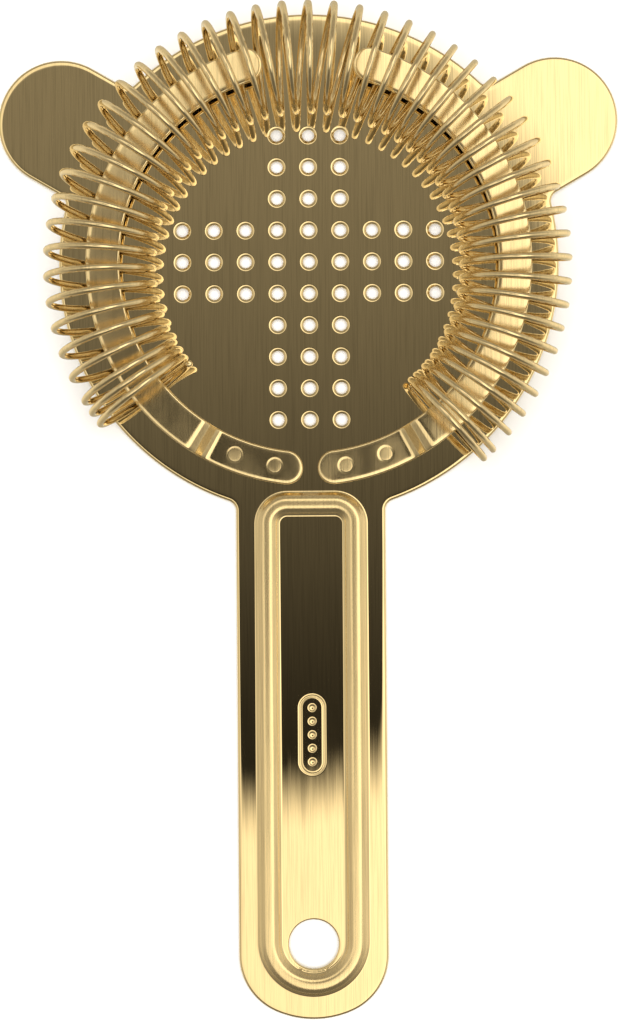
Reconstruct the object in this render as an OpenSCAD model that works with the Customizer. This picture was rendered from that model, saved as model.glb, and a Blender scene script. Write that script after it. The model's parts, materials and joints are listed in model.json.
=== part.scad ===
// Hawthorne strainer, lying on its flat back with the spring up.
// One stamped sheet makes the perforated head, the two ears and the handle. Two curved
// arms are spot-welded beside the neck, and a coil spring is threaded on both of them.
// +Z is up, +Y is the front, the handle points to -Y. The origin is the middle of the
// footprint, on the resting face. All sizes are in millimetres.

/* [Head and ears] */
// radius of the round head
head_r = 41.05; // [40.5:0.05:42]
// thickness of the stamped sheet
sheet_t = 1.2; // [1:0.05:1.5]
// half the width of an ear
ear_half_w = 10.3; // [9.5:0.1:11]
// distance from the head's centre to the centre of an ear's round end
ear_reach = 46.8; // [45:0.1:48]
// how far each ear is swung forward of the X axis, in degrees
ear_angle = 30; // [27:0.5:33]
// radius of the fillets where the ears and the neck leave the head
root_r = 1.8; // [1:0.1:2.5]

/* [Handle] */
// width of the handle
handle_w = 24.5; // [24:0.1:25.5]
// distance from the head's centre to the handle's end
handle_reach = 124; // [122:0.5:128]
// radius of the shallow arc that ends the handle
end_arc_r = 15.6; // [15:0.1:17]
// radius of the two corners beside that arc
end_corner_r = 10; // [9:0.1:10.5]
// radius of the hanging hole
hang_r = 4.1; // [3.8:0.05:4.2]
// distance from the handle's end to the hanging hole's centre
hang_inset = 12.3; // [12:0.1:12.8]
// width of the chamfer round the hanging hole
hang_chamfer = 0.25; // [0.1:0.05:0.3]

/* [Handle bead] */
// half the width of the bead's oblong loop, measured to the bead's middle
bead_half_w = 7.3; // [7.1:0.05:7.5]
// width of the bead
bead_w = 3.8; // [3.4:0.1:4]
// height of the bead above the sheet
bead_h = 0.9; // [0.6:0.05:1]
// distance from the head's centre to the middle of the bead's front run
bead_front = 39.3; // [38.8:0.1:39.6]
// radius of the loop's two front corners, to the bead's middle
bead_corner_r = 3.3; // [3:0.1:3.8]
// distance from the handle's end to the centre of the loop's round end
bead_inset = 12.9; // [12.7:0.05:13.1]

/* [Badge panel] */
// length of the stamped badge panel along the handle
badge_len = 13.3; // [12:0.1:15]
// width of the badge panel
badge_w = 4.4; // [4:0.1:5]
// distance from the head's centre to the badge panel's middle
badge_reach = 77.3; // [74:0.1:80]
// width of the badge panel's engraved border
badge_line = 0.5; // [0.3:0.05:0.6]
// depth of the engraving
badge_depth = 0.15; // [0.1:0.05:0.3]
// number of plain round pips in the badge panel
badge_pips = 5; // [3:1:5]
// radius of a pip
badge_pip_r = 0.62; // [0.4:0.05:0.7]

/* [Strainer holes] */
// spacing of the hole grid
hole_pitch = 5.19; // [5.1:0.01:5.25]
// radius of a hole
hole_r = 1; // [0.8:0.05:1.1]
// radius of a hole's dished rim
hole_rim_r = 1.5; // [1.4:0.05:1.7]
// depth of the dished rim
hole_dish = 0.35; // [0.2:0.05:0.6]
// how far the grid's middle hole sits forward of the head's centre
grid_shift = 0.4; // [0:0.1:0.6]
// columns on each side of the middle column in the wide band
band_cols = 4; // [4:1:4]
// rows in front of the middle row in the long band
rows_front = 4; // [4:1:4]
// rows behind the middle row in the long band
rows_back = 5; // [5:1:5]

/* [Arms] */
// radius of the arms' centre line
arm_r = 33.6; // [33.5:0.05:33.7]
// width of an arm's strip
arm_w = 5.5; // [5.2:0.1:5.6]
// thickness of an arm's strip
arm_t = 1.1; // [0.9:0.05:1.2]
// height of the gap between the sheet and a raised arm
arm_lift = 2.8; // [2.7:0.05:3]
// angle from the handle to the tip of a welded tab, in degrees
tab_tip = 2.1; // [1.8:0.1:3]
// angle from the handle to the lower crease of the step, in degrees
step_low = 29.3; // [28.5:0.1:29.8]
// angle from the handle to the upper crease of the step, in degrees
step_high = 33; // [32.5:0.1:33.5]
// angle from the handle to an arm's free tip, in degrees
arm_tip = 167.2; // [160:0.1:168]

/* [Spot welds] */
// angle from the handle to the first weld, in degrees
weld_1 = 10; // [9:0.5:11]
// angle from the handle to the second weld, in degrees
weld_2 = 21.6; // [20.5:0.1:22.5]
// radius of a weld nugget
nugget_r = 1.15; // [1:0.05:1.3]
// radius of the dimple left over a nugget
dimple_r = 1.65; // [1.5:0.05:1.8]
// depth of the dimple
dimple_depth = 0.2; // [0.15:0.05:0.4]
// how deep a nugget bites into the sheet
nugget_bite = 0.4; // [0.3:0.05:0.5]

/* [Coil spring] */
// diameter of the wire
wire_d = 1.1; // [1:0.05:1.15]
// outside diameter of the coil
coil_d = 18.3; // [18.2:0.05:18.4]
// radius of the curved line that the coil follows
coil_path_r = 33.35; // [33.2:0.05:33.5]
// how far that line's centre sits behind the head's centre
coil_back = 1.05; // [0.95:0.05:1.15]
// how far it sits toward the left
coil_aside = 0.2; // [0:0.05:0.3]
// angle of the first turn's outer point, clockwise from the handle, in degrees
coil_first = 52.9; // [52:0.1:56]
// angle swept by the turns of even pitch, in degrees
coil_sweep = 256.5; // [252:0.5:257]
// number of turns of even pitch
coil_even = 46; // [42:1:46]
// pitch of the close turns at the left end, in degrees
close_left = 2.95; // [2.9:0.05:3.2]
// pitch of the close turns at the right end, in degrees
close_right = 2.75; // [2.75:0.05:3]

/* [Hidden] */
$fn = 96;
eps = 0.01;
origin_shift = (handle_reach - head_r) / 2;
hang_y = -handle_reach + hang_inset;
bead_end_y = -handle_reach + bead_inset;
bead_round = (bead_w * bead_w / 4 + bead_h * bead_h) / (2 * bead_h);
bead_round_z = sheet_t + bead_h - bead_round;
tab_round = asin(arm_w / 2 / arm_r);
close_turns = 2;
coil_r = (coil_d - wire_d) / 2;
coil_z = sheet_t + 0.06 + coil_d / 2;
coil_steps = 16;
wire_sides = 6;
coil_start = -0.5;
coil_end = close_turns + coil_even + 1.5;

// moves a part drawn about the head's centre to the common origin
module place() {
  translate([0, origin_shift, 0]) children();
}

// point at a radius and at an angle measured clockwise from the handle, seen from above
function spot(r, a) = [-r * sin(a), -r * cos(a)];

// ---- outline of the stamped sheet ----

// two fillets where a strip of this half width leaves the head along -Y
module root_fillets(half_w) {
  reach = sqrt(pow(head_r + root_r, 2) - pow(half_w + root_r, 2));
  meet = head_r / (head_r + root_r);
  for (side = [-1, 1]) {
    difference() {
      polygon([
        [side * (half_w - 1), -reach],
        [side * (half_w - 1), -reach + 4],
        [side * (half_w + root_r) * meet, -reach * meet],
        [side * (half_w + root_r), -reach]
      ]);
      translate([side * (half_w + root_r), -reach]) circle(r = root_r);
    }
  }
}

module ear_outline() {
  translate([0, -ear_reach]) circle(r = ear_half_w);
  translate([-ear_half_w, -ear_reach]) square([2 * ear_half_w, ear_reach - head_r / 2]);
  root_fillets(ear_half_w);
}

module handle_outline() {
  corner_x = handle_w / 2 - end_corner_r;
  corner_y = -handle_reach + end_arc_r - sqrt(pow(end_arc_r - end_corner_r, 2) - pow(corner_x, 2));
  arc_y = -handle_reach + end_arc_r;
  spread = end_arc_r * 2 / (end_arc_r - end_corner_r);
  translate([-handle_w / 2, corner_y]) square([handle_w, -corner_y - head_r / 2]);
  for (side = [-1, 1]) {
    translate([side * corner_x, corner_y]) circle(r = end_corner_r);
  }
  intersection() {
    translate([0, arc_y]) circle(r = end_arc_r);
    polygon([
      [0, arc_y],
      [spread * corner_x, arc_y + spread * (corner_y - arc_y)],
      [-spread * corner_x, arc_y + spread * (corner_y - arc_y)]
    ]);
  }
  root_fillets(handle_w / 2);
}

module sheet_outline() {
  circle(r = head_r);
  handle_outline();
  rotate(90 + ear_angle) ear_outline();
  rotate(-90 - ear_angle) ear_outline();
}

// ---- pressed bead round the handle's panel ----

// oblong loop of round bar: r is the bar's radius, low is where its section is cut off
module bead_loop(r, low) {
  side_len = -bead_corner_r - bead_front - bead_end_y;
  front_len = 2 * (bead_half_w - bead_corner_r);
  for (side = [-1, 1]) {
    translate([side * bead_half_w, bead_end_y + side_len, 0]) {
      rotate([90, 0, 0]) linear_extrude(side_len) bead_section(r, low);
    }
  }
  translate([-front_len / 2, -bead_front, 0]) {
    rotate([90, 0, 90]) linear_extrude(front_len) bead_section(r, low);
  }
  translate([0, bead_end_y, 0]) {
    rotate([0, 0, 180]) rotate_extrude(angle = 180) {
      translate([bead_half_w, 0]) bead_section(r, low);
    }
  }
  for (side = [0, 1]) {
    mirror([side, 0, 0]) {
      translate([bead_half_w - bead_corner_r, -bead_front - bead_corner_r, 0]) {
        rotate_extrude(angle = 90) translate([bead_corner_r, 0]) bead_section(r, low);
      }
    }
  }
}

module bead_section(r, low) {
  intersection() {
    translate([0, bead_round_z]) circle(r = r);
    translate([-r, low]) square([2 * r, 2 * r]);
  }
}

// ---- openings and engraving ----

module strainer_hole() {
  translate([0, 0, -1]) cylinder(h = sheet_t + 2, r = hole_r);
  translate([0, 0, sheet_t - hole_dish]) {
    cylinder(h = hole_dish + eps, r1 = hole_r, r2 = hole_rim_r + eps);
  }
}

module hole_grid() {
  translate([0, grid_shift, 0]) {
    for (row = [-1:1], col = [-band_cols:band_cols]) {
      translate([col * hole_pitch, row * hole_pitch, 0]) strainer_hole();
    }
    for (row = [2:rows_front], col = [-1:1]) {
      translate([col * hole_pitch, row * hole_pitch, 0]) strainer_hole();
    }
    for (row = [2:rows_back], col = [-1:1]) {
      translate([col * hole_pitch, -row * hole_pitch, 0]) strainer_hole();
    }
  }
}

module hang_hole() {
  translate([0, hang_y, -1]) cylinder(h = sheet_t + 2, r = hang_r);
  translate([0, hang_y, sheet_t - hang_chamfer]) {
    cylinder(h = hang_chamfer + eps, r1 = hang_r, r2 = hang_r + hang_chamfer + eps);
  }
}

module stadium(length, width) {
  flat = (length - width) / 2;
  translate([-width / 2, -flat]) square([width, 2 * flat]);
  translate([0, flat]) circle(r = width / 2);
  translate([0, -flat]) circle(r = width / 2);
}

module badge_engraving() {
  pip_step = (badge_len - badge_w) / (badge_pips - 1);
  translate([0, -badge_reach, sheet_t - badge_depth]) {
    linear_extrude(1) difference() {
      stadium(badge_len, badge_w);
      stadium(badge_len - 2 * badge_line, badge_w - 2 * badge_line);
    }
    for (i = [0:badge_pips - 1]) {
      translate([0, (i - (badge_pips - 1) / 2) * pip_step, 0]) cylinder(h = 1, r = badge_pip_r);
    }
  }
}

module strainer_plate() {
  color([0.86, 0.72, 0.42]) place() difference() {
    union() {
      linear_extrude(sheet_t) sheet_outline();
      bead_loop(bead_round, sheet_t / 2);
    }
    bead_loop(bead_round - sheet_t, -1);
    hole_grid();
    hang_hole();
    badge_engraving();
    for (side = [-1, 1]) {
      nuggets(side);
    }
  }
}

// ---- arms and their welds ----

// outline of an arm's whole strip on the left side, from tab to free tip
module strip_outline() {
  far = 3 * arm_r;
  a1 = tab_tip + tab_round;
  a2 = arm_tip - tab_round;
  fan = 6;
  intersection() {
    difference() {
      circle(r = arm_r + arm_w / 2, $fn = 180);
      circle(r = arm_r - arm_w / 2, $fn = 180);
    }
    polygon(concat([[0, 0]], [for (i = [0:fan]) spot(far, a1 + (a2 - a1) * i / fan)]));
  }
  for (a = [a1, a2]) {
    translate(spot(arm_r, a)) circle(r = arm_w / 2);
  }
}

// side profile of the strip: flat tab, step up, flat arm
module strip_profile() {
  run = arm_r * (step_high - step_low) / 2 * PI / 180;
  slant = arm_t * 0.35;
  far = 3 * arm_r;
  polygon([
    [far, 0],
    [run - slant, 0],
    [-run - slant, arm_lift],
    [-far, arm_lift],
    [-far, arm_lift + arm_t],
    [-run + slant, arm_lift + arm_t],
    [run + slant, arm_t],
    [far, arm_t]
  ]);
}

// one arm on the left side, with its welded tab
module arm_body() {
  difference() {
    intersection() {
      linear_extrude(20) strip_outline();
      rotate([0, 0, -90 - (step_low + step_high) / 2]) translate([-3 * arm_r, 0, sheet_t]) {
        rotate([90, 0, 90]) linear_extrude(6 * arm_r) strip_profile();
      }
    }
    nuggets(-1);
    for (a = [weld_1, weld_2]) {
      translate([each spot(arm_r, a), sheet_t + arm_t - dimple_depth]) {
        cylinder(h = dimple_depth + eps, r1 = nugget_r, r2 = dimple_r);
      }
    }
  }
}

module left_spring_arm() {
  color([0.80, 0.66, 0.38]) place() arm_body();
}

module right_spring_arm() {
  color([0.80, 0.66, 0.38]) place() mirror([1, 0, 0]) arm_body();
}

// the two nuggets on one side: -1 is left, 1 is right
module nuggets(side) {
  for (a = [weld_1, weld_2]) {
    translate([each spot(arm_r, -side * a), sheet_t - nugget_bite]) {
      cylinder(h = nugget_bite + arm_t - dimple_depth, r = nugget_r);
    }
  }
}

module spot_welds() {
  color([0.74, 0.60, 0.34]) place() {
    nuggets(-1);
    nuggets(1);
  }
}

// ---- coil spring ----

// angle reached after s turns: closer at both ends, a little uneven in between
function turn_angle(s) =
  let (u = min(1, max(0, (s - close_turns) / coil_even)))
  coil_first + close_turns * close_left
  + coil_sweep * u + 4.7 * sin(180 * u) - sin(360 * u)
  - max(0, close_turns - s) * close_left
  + max(0, s - close_turns - coil_even) * close_right;

// point on the wire's centre line after s turns; each turn leans, so that its upper
// half runs nearly across the arm and its lower half carries most of the advance
function wire_at(s) =
  let (a = turn_angle(s - 0.125 * (1 - cos(360 * s))))
  let (r = coil_path_r + coil_r * cos(360 * s))
  [-r * sin(a) - coil_aside, -r * cos(a) - coil_back, coil_z + coil_r * sin(360 * s)];

function unit(v) = v / norm(v);

// one ring of points round the wire
function wire_ring(s) =
  let (a = turn_angle(s - 0.125 * (1 - cos(360 * s))))
  let (ahead = unit(wire_at(s + 0.005) - wire_at(s - 0.005)))
  let (out = [-sin(a) * cos(360 * s), -cos(a) * cos(360 * s), sin(360 * s)])
  let (side = unit(cross(ahead, out)))
  let (up = cross(side, ahead))
  [for (j = [0:wire_sides - 1])
    let (t = 360 * j / wire_sides)
    wire_at(s) + wire_d / 2 * (cos(t) * up + sin(t) * side)];

module coil_spring() {
  rings = (coil_end - coil_start) * coil_steps;
  n = wire_sides;
  points = [for (i = [0:rings]) each wire_ring(coil_start + i / coil_steps)];
  walls = [for (i = [0:rings - 1], j = [0:n - 1])
    [i * n + j, i * n + (j + 1) % n, (i + 1) * n + (j + 1) % n, (i + 1) * n + j]];
  near_cap = [for (j = [0:n - 1]) n - 1 - j];
  far_cap = [for (j = [0:n - 1]) rings * n + j];
  color([0.90, 0.78, 0.50]) place() polyhedron(points, concat([near_cap], walls, [far_cap]));
}

strainer_plate();
left_spring_arm();
right_spring_arm();
spot_welds();
coil_spring();
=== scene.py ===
"""Looks of the hawthorne strainer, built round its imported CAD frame."""

import json
import math

import bpy
import numpy as np
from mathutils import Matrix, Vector
from mathutils.geometry import delaunay_2d_cdt


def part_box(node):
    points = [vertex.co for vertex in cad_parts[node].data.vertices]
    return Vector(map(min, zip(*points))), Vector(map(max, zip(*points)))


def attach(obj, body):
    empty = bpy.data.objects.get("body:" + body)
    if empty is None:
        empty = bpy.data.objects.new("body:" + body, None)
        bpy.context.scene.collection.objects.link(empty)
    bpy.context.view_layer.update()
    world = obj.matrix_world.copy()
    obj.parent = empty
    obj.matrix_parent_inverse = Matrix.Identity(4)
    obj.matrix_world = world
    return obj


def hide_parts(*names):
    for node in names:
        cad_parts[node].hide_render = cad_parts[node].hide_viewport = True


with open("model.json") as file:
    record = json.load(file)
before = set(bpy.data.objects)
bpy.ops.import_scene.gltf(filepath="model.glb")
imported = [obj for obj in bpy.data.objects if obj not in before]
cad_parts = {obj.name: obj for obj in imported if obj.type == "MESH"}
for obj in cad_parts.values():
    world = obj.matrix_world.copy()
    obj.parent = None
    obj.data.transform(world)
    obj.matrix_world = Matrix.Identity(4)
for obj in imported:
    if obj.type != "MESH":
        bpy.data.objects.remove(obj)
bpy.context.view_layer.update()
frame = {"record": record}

# ---- what the frame says: the head's centre, and sizes in millimetres from it ----

MM = 0.001
HEAD = Vector(frame["record"]["behaviour"]["joints"][0]["pos_m"])


def box_mm(node):
    """Lowest and highest corner of a CAD node, in millimetres from the head's centre."""
    low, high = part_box(node)
    return [(Vector(corner) - HEAD) / MM for corner in (low, high)]


PLATE_LOW, PLATE_HIGH = box_mm("strainer_plate")
ARM_LOW, ARM_HIGH = box_mm("left_spring_arm")
COIL_LOW, COIL_HIGH = box_mm("coil_spring")

HEAD_R = PLATE_HIGH.y
SHEET_T = ARM_LOW.z
HANDLE_END = -PLATE_LOW.y
BEAD_H = PLATE_HIGH.z - SHEET_T

# the drawing's other sizes, in millimetres and degrees
EAR_HALF_W = 10.3
EAR_ANGLE = 30
ROOT_R = 1.8
HANDLE_HALF_W = 12.25
END_ARC_R = 15.6
END_CORNER_R = 10
HANG_R = 4.1
HANG_Y = -HANDLE_END + 12.3
BEAD_HALF_W = 7.2
BEAD_REACH = 1.8
BEAD_FOOT = 2.05
BEAD_FRONT = 39.3
BEAD_CORNER_R = 3.3
BEAD_END_Y = -HANDLE_END + 12.9
BADGE_Y = -77.3
BADGE_LEN = 13.3
BADGE_W = 4.4
BADGE_PIPS = 5
BADGE_PIP_R = 0.62
HOLE_PITCH = 5.19
HOLE_R = 1.0
GRID_SHIFT = 0.4
ARM_R = 33.6
ARM_HALF_W = 2.75
ARM_T = 1.1
TAB_TIP = 2.1
STEP_LOW = 29.3
STEP_HIGH = 33.0
ARM_TIP = 167.2
WELD_ANGLES = (10.0, 21.6)
NUGGET_R = 1.15
WIRE_R = 0.55
COIL_PATH_R = 33.35
COIL_BACK = 1.05
COIL_ASIDE = 0.2
COIL_FIRST = 52.9
COIL_SWEEP = 256.5
COIL_EVEN = 46
CLOSE_TURNS = 2
CLOSE_LEFT = 2.95
CLOSE_RIGHT = 2.75

EAR_REACH = PLATE_HIGH.x - EAR_HALF_W
EAR_REACH /= math.cos(math.radians(EAR_ANGLE))
ARM_LIFT = ARM_HIGH.z - SHEET_T - ARM_T


# ---- mesh helpers ----


def mesh_object(name, points, faces, body, slot, node=None):
    """A smooth mesh piece from points in millimetres about the head's centre."""
    mesh = bpy.data.meshes.new(name)
    mesh.from_pydata([tuple(Vector(p) * MM + HEAD) for p in points], [], faces)
    mesh.polygons.foreach_set("use_smooth", [True] * len(mesh.polygons))
    mesh.validate()
    piece = bpy.data.objects.new(name, mesh)
    bpy.context.collection.objects.link(piece)
    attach(piece, body)
    if node:
        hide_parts(node)
    return piece


def arc(cx, cy, r, start, end, step=0.6, bulge=1):
    """Points of an arc with their outward normals; bulge is -1 where metal lies outside it."""
    n = max(4, math.ceil(abs(math.radians(end - start)) * r / step))
    row = []
    for i in range(n + 1):
        a = math.radians(start + (end - start) * i / n)
        c, s = math.cos(a), math.sin(a)
        row.append((cx + r * c, cy + r * s, bulge * c, bulge * s))
    return row


def turned(row, degrees):
    """The row of points and normals, turned about the head's centre."""
    c, s = math.cos(math.radians(degrees)), math.sin(math.radians(degrees))
    return [(c * x - s * y, s * x + c * y, c * u - s * v, s * u + c * v) for x, y, u, v in row]


def closed(row):
    """The row without points that repeat their neighbour, the last and first included."""
    kept = []
    for p in row:
        if not kept or math.dist(p[:2], kept[-1][:2]) > 1e-3:
            kept.append(p)
    while math.dist(kept[0][:2], kept[-1][:2]) < 1e-3:
        kept.pop()
    return kept


def mirrored_loop(half):
    """A closed loop from its right half, which runs from the lowest point to the highest."""
    return closed(half + [(-x, y, -u, v) for x, y, u, v in reversed(half)])


def inset(loop, d, z):
    """The loop moved in by d at height z."""
    return [(x - u * d, y - v * d, z) for x, y, u, v in loop]


def circle(cx, cy, r, z, n):
    """A ring of n points."""
    return [
        (cx + r * math.cos(2 * math.pi * i / n), cy + r * math.sin(2 * math.pi * i / n), z)
        for i in range(n)
    ]


def fill(cuts, rings, loose=()):
    """Triangles over rings of (x, y, z) points; the inside of each cut ring is left open.

    Returns points, triangles that face +Z, and each cut ring's point numbers.
    """
    points, edges, owner, cut_rows = [], [], [], []
    for k, ring in enumerate([*cuts, *rings]):
        first = len(points)
        points += ring
        owner += [k if k < len(cuts) else -1] * len(ring)
        edges += [(first + i, first + (i + 1) % len(ring)) for i in range(len(ring))]
        if k < len(cuts):
            cut_rows.append(range(first, first + len(ring)))
    points += loose
    owner += [-1] * len(loose)
    flat = [Vector(p[:2]) for p in points]
    made, _, faces, origin, _, _ = delaunay_2d_cdt(flat, edges, [], 0, 1e-6, True)
    number = {}
    for k, sources in enumerate(origin):
        for source in sources:
            number[source] = k
    heights = [points[sources[0]][2] if sources else 0.0 for sources in origin]
    owners = [owner[sources[0]] if sources else -1 for sources in origin]
    solid = [(v.x, v.y, z) for v, z in zip(made, heights)]
    kept = []
    for face in faces:
        whose = {owners[i] for i in face}
        if len(whose) == 1 and -1 not in whose:
            continue
        a, b, c = (made[i] for i in face[:3])
        area = (b - a).cross(c - a)
        if abs(area) > 1e-9:
            kept.append(tuple(face) if area > 0 else tuple(reversed(face)))
    return solid, kept, [[number[i] for i in row] for row in cut_rows]


def sheet_solid(top, bottom):
    """One closed mesh from a top and a bottom fill that have the same cut rings."""
    points, faces, rows_top = top
    low_points, low_faces, rows_low = bottom
    shift = len(points)
    faces = faces + [tuple(shift + i for i in reversed(f)) for f in low_faces]
    for k, (up, low) in enumerate(zip(rows_top, rows_low)):
        n = len(up)
        for i in range(n):
            j = (i + 1) % n
            quad = (shift + low[i], shift + low[j], up[j], up[i])
            faces.append(quad if k == 0 else tuple(reversed(quad)))
    return list(points) + list(low_points), faces


def rounded(r, steps=4, crown=0.0, reach=0.0):
    """(inset, drop) pairs of an edge rounded to radius r, which eases into the face over reach."""
    pairs = []
    for i in range(steps + 1):
        a = math.pi / 2 * i / steps
        pairs.append((r * (1 - math.cos(a)), r * (1 - math.sin(a)) + crown))
    for part in (0.2, 0.4, 0.6, 0.8) if crown else ():
        pairs.append((r + reach * part, crown * (1 - part) ** 2))
    return pairs + [(r * 1.5 + reach, 0.0), (r * 2.6 + reach, 0.0)]


# ---- strainer plate ----


def strip_roots(half_w):
    """How far out the root fillet's centre lies along a strip, and the angle of its meeting."""
    reach = math.sqrt((HEAD_R + ROOT_R) ** 2 - (half_w + ROOT_R) ** 2)
    return reach, math.degrees(math.atan2(half_w + ROOT_R, reach))


def plate_outline():
    """The stamping's closed outline, from the handle's end round its right side."""
    corner_x = HANDLE_HALF_W - END_CORNER_R
    arc_y = -HANDLE_END + END_ARC_R
    corner_y = arc_y - math.sqrt((END_ARC_R - END_CORNER_R) ** 2 - corner_x**2)
    turn = math.degrees(math.atan2(corner_y - arc_y, corner_x))
    reach, meet = strip_roots(HANDLE_HALF_W)
    half = arc(0, arc_y, END_ARC_R, -90, turn)
    half += arc(corner_x, corner_y, END_CORNER_R, turn, 0)
    half += [(HANDLE_HALF_W, y, 1, 0) for y in np.linspace(corner_y, -reach, 24)[1:-1]]
    half += arc(HANDLE_HALF_W + ROOT_R, -reach, ROOT_R, 180, 90 + meet, 0.2, -1)
    ear_reach, ear_meet = strip_roots(EAR_HALF_W)
    half += arc(0, 0, HEAD_R, -90 + meet, EAR_ANGLE - ear_meet)
    ear = arc(ear_reach, -EAR_HALF_W - ROOT_R, ROOT_R, 180 - ear_meet, 90, 0.2, -1)
    ear += arc(EAR_REACH, 0, EAR_HALF_W, -90, 90)
    ear += arc(ear_reach, EAR_HALF_W + ROOT_R, ROOT_R, -90, -180 + ear_meet, 0.2, -1)
    half += turned(ear, EAR_ANGLE)
    half += arc(0, 0, HEAD_R, EAR_ANGLE + ear_meet, 90)
    return mirrored_loop(half)


def bead_midline():
    """The oblong loop that the handle's bead follows."""
    half = arc(0, BEAD_END_Y, BEAD_HALF_W, -90, 0, 0.5)
    top = -BEAD_FRONT - BEAD_CORNER_R
    half += [(BEAD_HALF_W, y, 1, 0) for y in np.linspace(BEAD_END_Y, top, 30)[1:-1]]
    half += arc(BEAD_HALF_W - BEAD_CORNER_R, top, BEAD_CORNER_R, 0, 90, 0.3)
    half += [(x, -BEAD_FRONT, 0, 1) for x in np.linspace(BEAD_HALF_W - BEAD_CORNER_R, 0, 5)[1:]]
    return mirrored_loop(half)


def bead_height(s):
    """Height of the bead at a distance s from its middle: a low crest, easing into the sheet."""
    flank = BEAD_REACH - 0.2
    if abs(s) < flank:
        return BEAD_H * (1 - (abs(s) / BEAD_REACH) ** 3)
    foot = BEAD_H * (1 - (flank / BEAD_REACH) ** 3)
    return foot * max(0.0, 1 - (abs(s) - flank) / (BEAD_FOOT - flank)) ** 2


def hole_centres():
    """Centres of the cross of drain holes."""
    wide = [(c, r) for r in (-1, 0, 1) for c in range(-4, 5)]
    long = [(c, r) for r in (*range(-5, -1), 2, 3, 4) for c in (-1, 0, 1)]
    return [(c * HOLE_PITCH, r * HOLE_PITCH + GRID_SHIFT) for c, r in wide + long]


# edges and profiles, as (distance out of the rim, drop below the face) unless said otherwise
SHEET_EDGE = rounded(0.4, 5, 0.012, 0.5)
BACK_EDGE = rounded(0.22)
HOLE_SIDES = 28
HOLE_DISH = (
    (0.0, 0.17), (0.04, 0.13), (0.12, 0.095), (0.22, 0.058), (0.31, 0.028), (0.38, 0.01),
    (0.44, 0.0), (0.57, 0.0),
)
HOLE_BACK = ((0.0, 0.08), (0.03, 0.02), (0.09, 0.0), (0.2, 0.0))
HANG_SIDES = 72
HANG_EDGE = ((0.0, 0.22), (0.02, 0.14), (0.08, 0.06), (0.17, 0.015), (0.3, 0.0), (0.36, 0.0))
HANG_BACK = ((0.0, 0.2), (0.06, 0.06), (0.2, 0.0), (0.4, 0.0))
# the groove behind the bead
GROOVE_HALF_W = 1.28
GROOVE_DEPTH = 0.9
# the badge's groove is (distance inside its outline, drop); a pip is (radius, drop)
BADGE_GROOVE = (
    (-0.2, 0.0), (-0.05, 0.0), (0.03, 0.02), (0.14, 0.07), (0.25, 0.09), (0.36, 0.07),
    (0.47, 0.02), (0.55, 0.0), (0.7, 0.0),
)
PIP_SIDES = 20
BADGE_PIP = (
    (BADGE_PIP_R + 0.18, 0.0), (BADGE_PIP_R + 0.05, 0.0), (BADGE_PIP_R - 0.02, 0.02), (0.46, 0.08),
    (0.3, 0.13), (0.15, 0.15),
)


def add_outline(top, back):
    """The stamping's rounded rim, front and back. A face is (cut rings, rings)."""
    outline = plate_outline()
    rows = [inset(outline, d, SHEET_T - drop) for d, drop in SHEET_EDGE]
    back_rows = [inset(outline, d, drop) for d, drop in BACK_EDGE]
    for (cuts, rings), made in ((top, rows), (back, back_rows)):
        cuts.append(made[0])
        rings += made[1:]


def add_round_hole(top, back, place, r, sides, front_profile, back_profile):
    """A round hole through the sheet, with a dished or softened rim on either face."""
    rows = [circle(*place, r + d, SHEET_T - drop, sides) for d, drop in front_profile]
    back_rows = [circle(*place, r + d, drop, sides) for d, drop in back_profile]
    for (cuts, rings), made in ((top, rows), (back, back_rows)):
        cuts.append(made[0])
        rings += made[1:]


def add_bead(top, back):
    """The raised bead round the handle's panel, and the groove behind it."""
    middle = bead_midline()
    top[1].extend(
        inset(middle, s, SHEET_T + bead_height(s)) for s in np.linspace(-BEAD_FOOT, BEAD_FOOT, 27)
    )
    top[1].extend(inset(middle, s, SHEET_T) for s in (-BEAD_FOOT - 0.15, BEAD_FOOT + 0.15))
    for s in np.linspace(-GROOVE_HALF_W, GROOVE_HALF_W, 13):
        z = GROOVE_DEPTH * math.sqrt(max(0, 1 - (s / GROOVE_HALF_W) ** 2))
        back[1].append(inset(middle, s, z))
    back[1].extend(inset(middle, s, 0) for s in (-1.5, 1.5))


def add_badge(top):
    """The slot-shaped badge panel: a shallow groove round a row of plain pips."""
    flat = (BADGE_LEN - BADGE_W) / 2
    half = arc(0, BADGE_Y - flat, BADGE_W / 2, -90, 0, 0.25)
    half += [(BADGE_W / 2, y, 1, 0) for y in np.linspace(BADGE_Y - flat, BADGE_Y + flat, 6)[1:-1]]
    half += arc(0, BADGE_Y + flat, BADGE_W / 2, 0, 90, 0.25)
    slot = mirrored_loop(half)
    top[1].extend(inset(slot, d, SHEET_T - drop) for d, drop in BADGE_GROOVE)
    for i in range(BADGE_PIPS):
        y = BADGE_Y + (i - (BADGE_PIPS - 1) / 2) * 2 * flat / (BADGE_PIPS - 1)
        top[1].extend(circle(0, y, r, SHEET_T - drop, PIP_SIDES) for r, drop in BADGE_PIP)


def build_plate():
    """The whole stamping as one closed sheet with rounded edges, dished holes and a bead."""
    top, back = ([], []), ([], [])
    add_outline(top, back)
    for place in hole_centres():
        add_round_hole(top, back, place, HOLE_R, HOLE_SIDES, HOLE_DISH, HOLE_BACK)
    add_round_hole(top, back, (0, HANG_Y), HANG_R, HANG_SIDES, HANG_EDGE, HANG_BACK)
    add_bead(top, back)
    add_badge(top)
    solid = sheet_solid(fill(*top), fill(*back))
    return mesh_object("strainer_sheet", *solid, "frame", "gold_sheet", "strainer_plate")


# ---- spring arms and welds ----

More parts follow.
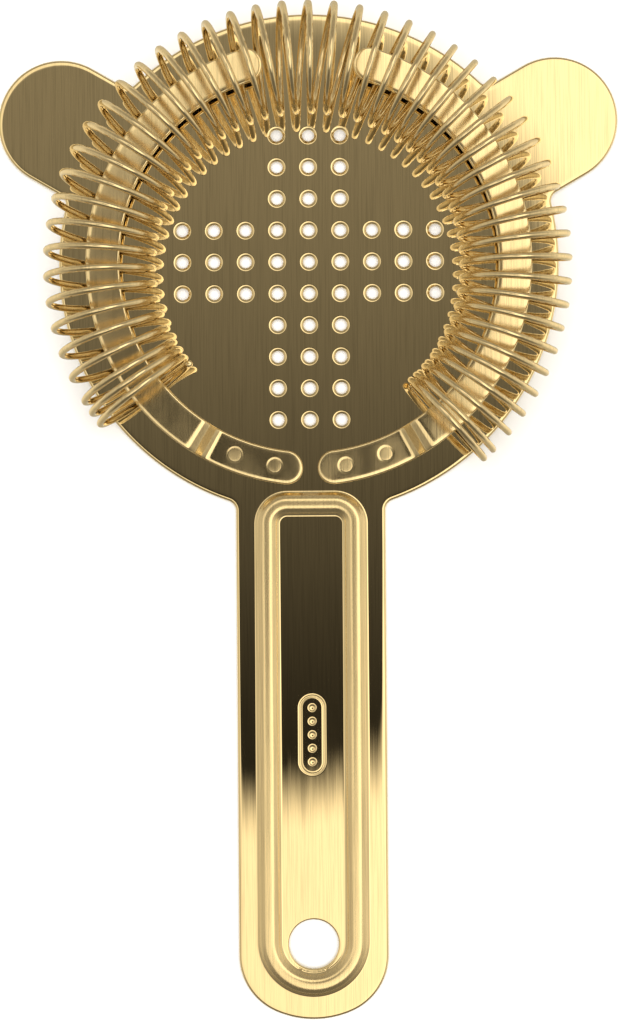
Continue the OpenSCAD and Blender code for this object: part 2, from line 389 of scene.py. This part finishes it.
STRIP_LEN = math.radians(ARM_TIP - TAB_TIP) * ARM_R
STEP_FROM = math.radians(STEP_LOW - TAB_TIP) * ARM_R
STEP_TO = math.radians(STEP_HIGH - TAB_TIP) * ARM_R
# how softly the strip bends at the step's lower and upper end
LOW_CREASE = 2.6
HIGH_CREASE = 2.2
CREASE_START = 0.75

ARM_EDGE = rounded(0.24, 4, 0.025, 0.5)
# (radius, drop below the tab's top) of a weld's dimple in the tab and of the nugget's dome
WELD_DIMPLE = (
    (1.55, 0.0), (1.46, 0.001), (1.36, 0.006), (1.24, 0.014), (1.12, 0.02), (1.0, 0.024),
    (0.85, 0.025), (0.5, 0.025), (0.2, 0.025),
)
WELD_DOME = ((1.15, 0.028), (1.05, 0.022), (0.85, 0.016), (0.55, 0.012), (0.25, 0.011))
WELD_CLEAR = 2.1
WELD_FOOT = SHEET_T - 0.4
WELD_SIDES = 36


def step_table():
    """Centre line of the strip's side view: for closely spaced s, (s, height, tilt)."""
    slope = ARM_LIFT / (STEP_TO - STEP_FROM)
    rows, z, ds = [], 0.0, 0.02
    for i in range(int(STRIP_LEN / ds) + 2):
        s = i * ds
        up = min(1.0, max(0.0, (s - STEP_FROM) / LOW_CREASE + CREASE_START)) ** 3
        down = min(1.0, max(0.0, (STEP_TO - s) / HIGH_CREASE + CREASE_START)) ** 3
        here = slope * min(up, down)
        rows.append((z, math.atan(here)))
        z += here * ds
    return ds, rows


STEP_DS, STEP_ROWS = step_table()


def strip_point(s, v, h, side):
    """Where a point of the flat strip goes: s along it, v outward, h up from its middle."""
    low = max(0, min(len(STEP_ROWS) - 2, int(s / STEP_DS)))
    part = min(1.0, max(0.0, s / STEP_DS - low))
    z = STEP_ROWS[low][0] * (1 - part) + STEP_ROWS[low + 1][0] * part
    tilt = STEP_ROWS[low][1] * (1 - part) + STEP_ROWS[low + 1][1] * part
    a = math.radians(TAB_TIP) + (s - h * math.sin(tilt)) / ARM_R
    r = ARM_R + v
    return side * r * math.sin(a), -r * math.cos(a), SHEET_T + ARM_T / 2 + z + h * math.cos(tilt)


def build_arm(side, name, node):
    """One spring arm: a stadium strip with rounded edges, two weld dimples and a step."""
    half = ARM_HALF_W
    loop = arc(half, 0, half, 90, 270, 0.25)
    stations = sorted(
        {*np.round(np.linspace(half, STEP_FROM - 2, 32), 3)}
        | {*np.round(np.linspace(STEP_FROM - 2, STEP_TO + 1.7, 60), 3)}
        | {*np.round(np.linspace(STEP_TO + 1.7, STRIP_LEN - half, 65), 3)}
    )
    loop += [(s, -half, 0, -1) for s in stations[1:-1]]
    loop += arc(STRIP_LEN - half, 0, half, -90, 90, 0.25)
    loop += [(s, half, 0, 1) for s in reversed(stations[1:-1])]
    loop = closed(loop)
    top_h, low_h = ARM_T / 2, -ARM_T / 2
    rim, *rings = [inset(loop, d, top_h - drop) for d, drop in ARM_EDGE]
    low_rim, *low_rings = [inset(loop, d, low_h + drop) for d, drop in ARM_EDGE]
    welds = [(math.radians(a - TAB_TIP) * ARM_R, 0) for a in WELD_ANGLES]
    for x, y in welds:
        for r, drop in WELD_DIMPLE:
            rings.append(circle(x, y, r, top_h - drop, 40))
    across = np.linspace(-half + 1.25, half - 1.25, 4)
    grid = [(s, v) for s in stations[1:-1] for v in across]
    open_grid = [p for p in grid if all(math.dist(p, w) > WELD_CLEAR for w in welds)]
    top = fill([rim], rings, [(s, v, top_h) for s, v in open_grid])
    low = fill([low_rim], low_rings, [(s, v, low_h) for s, v in grid])
    points, faces = sheet_solid(top, low)
    if side > 0:
        faces = [tuple(reversed(f)) for f in faces]
    placed = [strip_point(s, v, h, side) for s, v, h in points]
    return mesh_object(name, placed, faces, "frame", "gold_strip", node)


def build_welds():
    """The four nuggets: each a low dome in its dimple, with a short stem into the sheet."""
    points, faces = [], []
    n = WELD_SIDES
    for side in (-1, 1):
        for a in WELD_ANGLES:
            angle = math.radians(a)
            x, y = side * ARM_R * math.sin(angle), -ARM_R * math.cos(angle)
            top = SHEET_T + ARM_T
            rows = [(NUGGET_R, WELD_FOOT)] + [(r, top - drop) for r, drop in WELD_DOME]
            first = len(points)
            for r, z in rows:
                points += circle(x, y, r, z, n)
            for k in range(len(rows) - 1):
                for i in range(n):
                    j = (i + 1) % n
                    base = first + k * n
                    faces.append((base + i, base + j, base + n + j, base + n + i))
            points += [(x, y, WELD_FOOT), (x, y, top - WELD_DOME[-1][1])]
            last = first + (len(rows) - 1) * n
            faces += [(first + (i + 1) % n, first + i, len(points) - 2) for i in range(n)]
            faces += [(last + i, last + (i + 1) % n, len(points) - 1) for i in range(n)]
    return mesh_object("weld_nuggets", points, faces, "frame", "gold_weld", "spot_welds")


# ---- coil spring ----

TURN_STEPS = 40
WIRE_SIDES = 12
COIL_START = -0.5
COIL_END = CLOSE_TURNS + COIL_EVEN + 1.5
COIL_LEAN = 0.125
# how far, in degrees, the turns' spacing strays from even over the middle turns
COIL_WAVES = (4.7, 1.0)
# (distance past the last section, share of the wire's radius) of the softened ends
WIRE_TIP = ((0.22, 0.55), (0.14, 0.86))
COIL_R = (COIL_HIGH.z - COIL_LOW.z) / 2 - WIRE_R
COIL_Z = (COIL_HIGH.z + COIL_LOW.z) / 2


def turn_angle(s):
    """Angle clockwise from the handle after s turns, in degrees."""
    u = min(1.0, max(0.0, (s - CLOSE_TURNS) / COIL_EVEN))
    wave = COIL_WAVES[0] * math.sin(math.pi * u) - COIL_WAVES[1] * math.sin(2 * math.pi * u)
    close = CLOSE_TURNS * CLOSE_LEFT - max(0.0, CLOSE_TURNS - s) * CLOSE_LEFT
    far = max(0.0, s - CLOSE_TURNS - COIL_EVEN) * CLOSE_RIGHT
    return COIL_FIRST + close + COIL_SWEEP * u + wave + far


def wire_at(s):
    """(point, outward direction in the turn) on the wire's centre line after s turns."""
    c, k = math.cos(2 * math.pi * s), math.sin(2 * math.pi * s)
    a = math.radians(turn_angle(s - COIL_LEAN * (1 - c)))
    r = COIL_PATH_R + COIL_R * c
    x, y = -r * math.sin(a) - COIL_ASIDE, -r * math.cos(a) - COIL_BACK
    point = Vector((x, y, COIL_Z + COIL_R * k))
    return point, Vector((-math.sin(a) * c, -math.cos(a) * c, k))


def build_coil():
    """The coil spring: one round wire swept along its leaning turns, with softened ends."""
    n = WIRE_SIDES
    count = round((COIL_END - COIL_START) * TURN_STEPS)
    stops = [COIL_START + i / TURN_STEPS for i in range(count + 1)]
    sections = [(stops[0], -beyond, share) for beyond, share in WIRE_TIP]
    sections += [(s, 0.0, 1.0) for s in stops]
    sections += [(stops[-1], beyond, share) for beyond, share in reversed(WIRE_TIP)]
    points, faces = [], []
    for s, beyond, share in sections:
        point, out = wire_at(s)
        ahead = (wire_at(s + 0.003)[0] - wire_at(s - 0.003)[0]).normalized()
        side = ahead.cross(out).normalized()
        up = side.cross(ahead)
        for j in range(n):
            a = 2 * math.pi * (j + 0.5) / n
            around = up * math.cos(a) + side * math.sin(a)
            points.append(point + ahead * beyond + around * WIRE_R * share)
    rows = len(sections)
    for i in range(rows - 1):
        for j in range(n):
            k = (j + 1) % n
            faces.append((i * n + j, i * n + k, (i + 1) * n + k, (i + 1) * n + j))
    faces.append(tuple(reversed(range(n))))
    faces.append(tuple((rows - 1) * n + j for j in range(n)))
    return mesh_object("coil_wire", points, faces, "spring", "gold_wire", "coil_spring")


# ---- materials ----

GOLD = (0.95, 0.80, 0.52)
WIRE_GOLD = (0.92, 0.78, 0.52)
# how much rougher the bead is than the flat sheet, and the height over which it gets so
BEAD_DULL = 0.19
BEAD_DULL_OVER = 0.25


class Nodes:
    """Short calls for a material's or a world's node tree."""

    def __init__(self, tree):
        self.tree = tree
        tree.nodes.clear()

    def add(self, kind, **values):
        node = self.tree.nodes.new(kind)
        for key, value in values.items():
            setattr(node, key, value)
        return node

    def link(self, source, target):
        self.tree.links.new(source, target)

    def put(self, socket, value):
        if isinstance(value, bpy.types.NodeSocket):
            self.link(value, socket)
        else:
            socket.default_value = value

    def math(self, operation, a, b=0.0, c=0.0):
        node = self.add("ShaderNodeMath", operation=operation)
        for socket, value in zip(node.inputs, (a, b, c)):
            self.put(socket, value)
        return node.outputs[0]

    def vector(self, operation, a, b=None, scale=None):
        node = self.add("ShaderNodeVectorMath", operation=operation)
        self.put(node.inputs[0], a)
        if b is not None:
            self.put(node.inputs[1], b)
        if scale is not None:
            self.put(node.inputs["Scale"], scale)
        return node.outputs[0]

    def ramp(self, value, low, high, to_low=0.0, to_high=1.0):
        node = self.add("ShaderNodeMapRange", interpolation_type="SMOOTHSTEP")
        for socket, v in zip(node.inputs, (value, low, high, to_low, to_high)):
            self.put(socket, v)
        return node.outputs[0]

    def noise(self, coords, stretch, detail=3.0, rough=0.5):
        mapping = self.add("ShaderNodeMapping")
        self.put(mapping.inputs["Vector"], coords)
        mapping.inputs["Scale"].default_value = stretch
        node = self.add("ShaderNodeTexNoise")
        self.link(mapping.outputs[0], node.inputs["Vector"])
        node.inputs["Scale"].default_value = 1.0
        node.inputs["Detail"].default_value = detail
        node.inputs["Roughness"].default_value = rough
        return node.outputs["Fac"]

    def mix(self, factor, a, b):
        node = self.add("ShaderNodeMix", data_type="RGBA")
        self.put(node.inputs[0], factor)
        self.put(node.inputs[6], a)
        self.put(node.inputs[7], b)
        return node.outputs[2]


def gold(name, base, rough, grain=0.0, lean=0.0, sway=0.0, outward=0.0, dull_above=None):
    """Gold-coloured plating, brushed along Y.

    grain and lean tilt the surface across and along the brushing, sway does so slowly, and
    outward leans it away from the head's centre. Above the height dull_above it is duller.
    """
    material = bpy.data.materials.new(name)
    material.use_nodes = True
    n = Nodes(material.node_tree)
    coords = n.add("ShaderNodeTexCoord").outputs["Object"]
    shader = n.add("ShaderNodeBsdfPrincipled")
    output = n.add("ShaderNodeOutputMaterial")
    n.link(shader.outputs[0], output.inputs[0])
    shader.inputs["Metallic"].default_value = 1.0
    streaks = n.noise(coords, (5200, 90, 5200), 4.0, 0.6)
    bands = n.noise(coords, (900, 35, 900), 2.0)
    smudge = n.noise(coords, (160, 110, 160), 3.0)
    deep = tuple(c * 0.8 for c in base) + (1.0,)
    n.link(n.mix(n.ramp(streaks, 0.25, 0.6), deep, base + (1.0,)), shader.inputs["Base Color"])
    shine = n.math("MULTIPLY", n.ramp(smudge, 0.35, 0.75, 0.75, 1.25), rough)
    if dull_above is not None:
        axes = n.add("ShaderNodeSeparateXYZ")
        n.link(coords, axes.inputs[0])
        dull = n.ramp(axes.outputs[2], dull_above, dull_above + BEAD_DULL_OVER * MM, 0.0, BEAD_DULL)
        shine = n.math("ADD", shine, dull)
    n.link(shine, shader.inputs["Roughness"])
    if grain or lean or sway or outward:
        normal = n.add("ShaderNodeNewGeometry").outputs["Normal"]
        across = n.math("MULTIPLY", n.math("SUBTRACT", streaks, 0.5), grain)
        along = n.math("MULTIPLY", n.math("SUBTRACT", bands, 0.5), lean)
        slow = n.noise(coords, (42, 34, 42), 1.0)
        slow_b = n.noise(coords, (31, 47, 60), 1.0)
        across = n.math("MULTIPLY_ADD", n.math("SUBTRACT", slow, 0.5), sway, across)
        along = n.math("MULTIPLY_ADD", n.math("SUBTRACT", slow_b, 0.5), sway, along)
        tilt = n.add("ShaderNodeCombineXYZ")
        n.link(across, tilt.inputs[0])
        n.link(along, tilt.inputs[1])
        from_head = n.vector("SUBTRACT", coords, tuple(HEAD))
        leaning = n.vector("SCALE", from_head, scale=outward / (ARM_R * MM))
        bent = n.vector("ADD", n.vector("ADD", normal, tilt.outputs[0]), leaning)
        n.link(n.vector("NORMALIZE", bent), shader.inputs["Normal"])
    return material


def paint(piece, material):
    """Give the piece its one material."""
    piece.data.materials.clear()
    piece.data.materials.append(material)


# ---- surroundings ----

CAMERA_X = 0.2
CAMERA_Y = -40.7
CAMERA_UP = 415.0
CAMERA_ROLL = -0.42
CAMERA_LENS = 88.9

# the light: a wide soft panel overhead, with one round opening in it for the camera
TENT_COLOUR = (1.0, 0.875, 0.62, 1.0)
PANEL_LEFT = 1.0
PANEL_RIGHT = 1.7
OPENING_RIGHT = math.tan(math.radians(-2.8))
OPENING_FRONT = math.tan(math.radians(2.6))
OPENING_R = math.tan(math.radians(9.3))
OPENING_SOFT = math.tan(math.radians(0.9))
OPENING_LEVELS = (0.02, 0.26)
# the tent's wall: its least brightness, then what its sides, its right, its front and its foot add
WALL_LEVEL = 0.16
WALL_SIDES = 0.54
WALL_RIGHT = 0.1
WALL_FRONT = 0.25
WALL_FOOT = 0.3
# the table's own lamp
LAMP_POWER = 2.75
LAMP_COLOUR = (0.865, 0.91, 1.0)

TABLE_WHITE = (0.93, 0.925, 0.915, 1.0)
TABLE_HALF_W = 5.0
TABLE_GAP = 0.0002


def build_world():
    """A soft tent: a wide panel overhead, brighter to the right, and a dimmer wall all round.

    The panel has one round opening with a soft rim, where the camera looks through.
    """
    world = bpy.data.worlds.new("tent")
    bpy.context.scene.world = world
    world.use_nodes = True
    n = Nodes(world.node_tree)
    axes = n.add("ShaderNodeSeparateXYZ")
    n.link(n.add("ShaderNodeTexCoord").outputs["Generated"], axes.inputs[0])
    x, y, z = axes.outputs
    xx, yy = n.math("MULTIPLY", x, x), n.math("MULTIPLY", y, y)
    sideways = n.math("DIVIDE", xx, n.math("ADD", n.math("ADD", xx, yy), 0.001))
    sideways = n.math("MULTIPLY", sideways, sideways)
    sides = n.math("MULTIPLY_ADD", x, WALL_RIGHT, WALL_SIDES)
    wall = n.math("MULTIPLY_ADD", sideways, sides, WALL_LEVEL)
    wall = n.math("MULTIPLY_ADD", n.math("MAXIMUM", y, 0.0), WALL_FRONT, wall)
    wall = n.math("ADD", wall, n.ramp(z, 0.15, -0.2, 0.0, WALL_FOOT))
    height = n.math("MAXIMUM", z, 0.05)
    right = n.math("SUBTRACT", n.math("DIVIDE", x, height), OPENING_RIGHT)
    front = n.math("SUBTRACT", n.math("DIVIDE", y, height), OPENING_FRONT)
    away = n.math("ADD", n.math("MULTIPLY", right, right), n.math("MULTIPLY", front, front))
    beyond = n.ramp(n.math("SQRT", away), OPENING_R - OPENING_SOFT, OPENING_R + OPENING_SOFT)
    opening = n.ramp(front, -OPENING_R, OPENING_R, *OPENING_LEVELS)
    panel = n.ramp(x, -0.3, 0.3, PANEL_LEFT, PANEL_RIGHT)
    ceiling = n.math("MULTIPLY_ADD", beyond, n.math("SUBTRACT", panel, opening), opening)
    overhead = n.ramp(z, 0.82, 0.90)
    strength = n.math("MULTIPLY_ADD", overhead, n.math("SUBTRACT", ceiling, wall), wall)
    background = n.add("ShaderNodeBackground")
    background.inputs["Color"].default_value = TENT_COLOUR
    n.link(strength, background.inputs["Strength"])
    output = n.add("ShaderNodeOutputWorld")
    n.link(background.outputs[0], output.inputs[0])


def build_lamp():
    """A soft lamp overhead that lights the table, and isn't seen in the metal's reflections."""
    data = bpy.data.lights.new("soft_lamp", "SUN")
    data.energy = LAMP_POWER
    data.color = LAMP_COLOUR
    data.angle = math.radians(50)
    lamp = bpy.data.objects.new("soft_lamp", data)
    bpy.context.collection.objects.link(lamp)
    lamp.visible_glossy = False


def build_floor():
    """A plain white table, well past the camera's view, and not seen in the metal either."""
    size = TABLE_HALF_W
    mesh = bpy.data.meshes.new("table_top")
    corners = [(-size, -size, 0), (size, -size, 0), (size, size, 0), (-size, size, 0)]
    mesh.from_pydata(corners, [], [(0, 1, 2, 3)])
    floor = bpy.data.objects.new("table_top", mesh)
    bpy.context.collection.objects.link(floor)
    floor.location.z = -TABLE_GAP
    floor.visible_glossy = False
    material = bpy.data.materials.new("white_table")
    material.use_nodes = True
    n = Nodes(material.node_tree)
    shader = n.add("ShaderNodeBsdfPrincipled")
    output = n.add("ShaderNodeOutputMaterial")
    n.link(shader.outputs[0], output.inputs[0])
    shader.inputs["Roughness"].default_value = 0.9
    shader.inputs["Base Color"].default_value = TABLE_WHITE
    mesh.materials.append(material)


def build_camera():
    """Straight above the handle's neck, as the object was photographed."""
    data = bpy.data.cameras.new("overhead")
    data.lens = CAMERA_LENS
    data.sensor_width = 36.0
    camera = bpy.data.objects.new("overhead", data)
    bpy.context.collection.objects.link(camera)
    place = Vector((CAMERA_X, CAMERA_Y, SHEET_T + CAMERA_UP)) * MM + HEAD
    camera.location = place
    camera.rotation_euler = (0.0, 0.0, math.radians(CAMERA_ROLL))
    bpy.context.scene.camera = camera


build_world()
build_lamp()
build_floor()
build_camera()

bead_foot = HEAD.z + (SHEET_T + 0.05) * MM
sheet_gold = gold(
    "brushed_gold_sheet", GOLD, rough=0.026, grain=0.0045, lean=0.006, sway=0.004, dull_above=bead_foot
)
arm_gold = gold(
    "satin_gold_strip", GOLD, rough=0.125, grain=0.014, lean=0.008, sway=0.015, outward=0.03
)
weld_gold = gold("weld_gold", GOLD, rough=0.2, grain=0.02, lean=0.02, sway=0.02, outward=0.03)
wire_gold = gold("polished_gold_wire", WIRE_GOLD, rough=0.12)
paint(build_plate(), sheet_gold)
paint(build_arm(-1, "left_arm_strip", "left_spring_arm"), arm_gold)
paint(build_arm(1, "right_arm_strip", "right_spring_arm"), arm_gold)
paint(build_welds(), weld_gold)
paint(build_coil(), wire_gold)

bpy.context.scene.view_settings.view_transform = "Standard"
